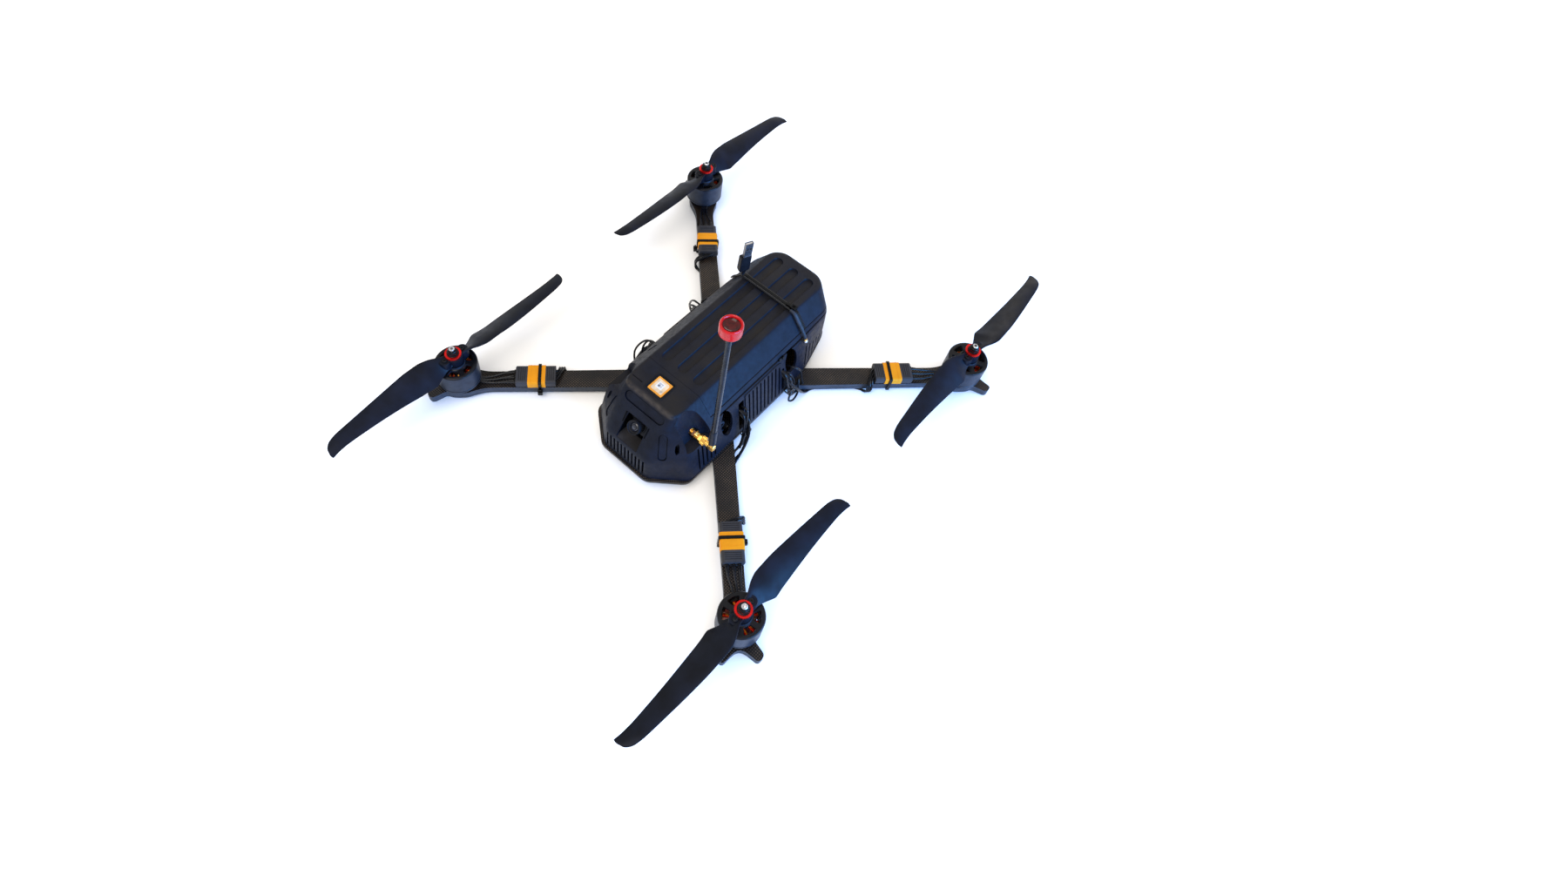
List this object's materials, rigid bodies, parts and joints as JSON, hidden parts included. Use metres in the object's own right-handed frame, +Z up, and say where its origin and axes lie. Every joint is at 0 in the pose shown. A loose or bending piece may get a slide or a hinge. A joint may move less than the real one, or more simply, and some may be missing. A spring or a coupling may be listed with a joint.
{
  "type": "quadcopter drone",
  "caption": "Ten-inch quadcopter: carbon frame with a vented body shell, tilting nose camera, swivel antenna, lift-off lid and spinning two-blade propellers.",
  "frame": {"origin": "centre of the frame on the underside of the bottom plate", "axes": "+Z up, -Y towards the nose and camera, +X towards the drone's left-hand side"},
  "size_m": [0.3884, 0.582, 0.224],
  "materials": {
    "carbon_plate": "3 mm carbon plate, satin, slate edges",
    "carbon_arm": "plain-weave carbon under clear resin, slate sawn edges",
    "body_shell": "near-black moulded plastic with a fine grain",
    "patch_ceramic": "ceramic tile with a silvered centre and an amber border",
    "camera_plastic": "black moulded plastic",
    "lens_glass": "coated glass in a black ring",
    "gold_plate": "gold-plated brass",
    "antenna_jacket": "black cable jacket, satin",
    "antenna_cap": "glossy translucent red plastic",
    "tie_nylon": "black nylon",
    "wire_silicone": "soft black silicone insulation",
    "bright_steel": "bright metal",
    "plug_plastic": "black overmould with a dark metal shell",
    "stator_windings": "enamelled copper on a black laminated core",
    "motor_bell": "black anodised, satin",
    "propeller": "dark glass-filled nylon, satin",
    "red_ring": "red anodised",
    "black_nut": "black oxide",
    "connector_nylon": "dark grey nylon caps on an amber body",
    "circuit_board": "solder-masked board",
    "transmitter_case": "black anodised",
    "battery_wrap": "shrink wrap over pouch cells"
  },
  "bodies": {
    "frame": {"bottom_plate": "carbon_plate", "mid_plate": "carbon_plate", "arm_fl": "carbon_arm", "arm_fr": "carbon_arm", "arm_rl": "carbon_arm", "arm_rr": "carbon_arm", "shell_base": "body_shell", "gps_antenna": "patch_ceramic", "camera_bracket": "camera_plastic", "sma_jack": "gold_plate", "flight_stack": "circuit_board", "video_transmitter": "transmitter_case", "battery": "battery_wrap", "motor_stator_fl": "stator_windings", "motor_connector_fl": "connector_nylon", "connector_tie_fl": "tie_nylon", "motor_leads_fl": "wire_silicone", "speed_leads_fl": "wire_silicone", "motor_stator_fr": "stator_windings", "motor_connector_fr": "connector_nylon", "connector_tie_fr": "tie_nylon", "motor_leads_fr": "wire_silicone", "speed_leads_fr": "wire_silicone", "motor_stator_rl": "stator_windings", "motor_connector_rl": "connector_nylon", "connector_tie_rl": "tie_nylon", "motor_leads_rl": "wire_silicone", "speed_leads_rl": "wire_silicone", "motor_stator_rr": "stator_windings", "motor_connector_rr": "connector_nylon", "connector_tie_rr": "tie_nylon", "motor_leads_rr": "wire_silicone", "speed_leads_rr": "wire_silicone"},
    "lid": {"shell_lid": "body_shell", "lid_tie": "tie_nylon", "charge_lead": "wire_silicone", "lead_tip": "bright_steel", "usb_plug": "plug_plastic"},
    "antenna": {"antenna_nut": "gold_plate", "antenna_elbow": "gold_plate", "antenna_stem": "antenna_jacket", "antenna_cap": "antenna_cap"},
    "camera": {"camera_body": "camera_plastic", "camera_lens": "lens_glass"},
    "rotor_fl": {"motor_bell_fl": "motor_bell", "propeller_fl": "propeller", "prop_ring_fl": "red_ring", "prop_nut_fl": "black_nut"},
    "rotor_fr": {"motor_bell_fr": "motor_bell", "propeller_fr": "propeller", "prop_ring_fr": "red_ring", "prop_nut_fr": "black_nut"},
    "rotor_rl": {"motor_bell_rl": "motor_bell", "propeller_rl": "propeller", "prop_ring_rl": "red_ring", "prop_nut_rl": "black_nut"},
    "rotor_rr": {"motor_bell_rr": "motor_bell", "propeller_rr": "propeller", "prop_ring_rr": "red_ring", "prop_nut_rr": "black_nut"}
  },
  "joints": [
    {"name": "rotor_fl_spin", "type": "hinge", "parent": "frame", "child": "rotor_fl", "pos_m": [0.164, -0.164, 0.03], "axis": [0, 0, 1], "continuous": true},
    {"name": "rotor_fr_spin", "type": "hinge", "parent": "frame", "child": "rotor_fr", "pos_m": [-0.164, -0.164, 0.03], "axis": [0, 0, 1], "continuous": true},
    {"name": "rotor_rl_spin", "type": "hinge", "parent": "frame", "child": "rotor_rl", "pos_m": [0.164, 0.164, 0.03], "axis": [0, 0, 1], "continuous": true},
    {"name": "rotor_rr_spin", "type": "hinge", "parent": "frame", "child": "rotor_rr", "pos_m": [-0.164, 0.164, 0.03], "axis": [0, 0, 1], "continuous": true},
    {"name": "antenna_swivel", "type": "hinge", "parent": "frame", "child": "antenna", "pos_m": [0.05, -0.08, 0.0555], "axis": [1, 0, 0], "range_deg": [-60, 60]},
    {"name": "camera_tilt", "type": "hinge", "parent": "frame", "child": "camera", "pos_m": [0, -0.095, 0.0465], "axis": [1, 0, 0], "range_deg": [-3.5, 8]},
    {"name": "lid_lift", "type": "slide", "parent": "frame", "child": "lid", "axis": [0, 0, 1], "range_m": [0, 0.04]}
  ]
}
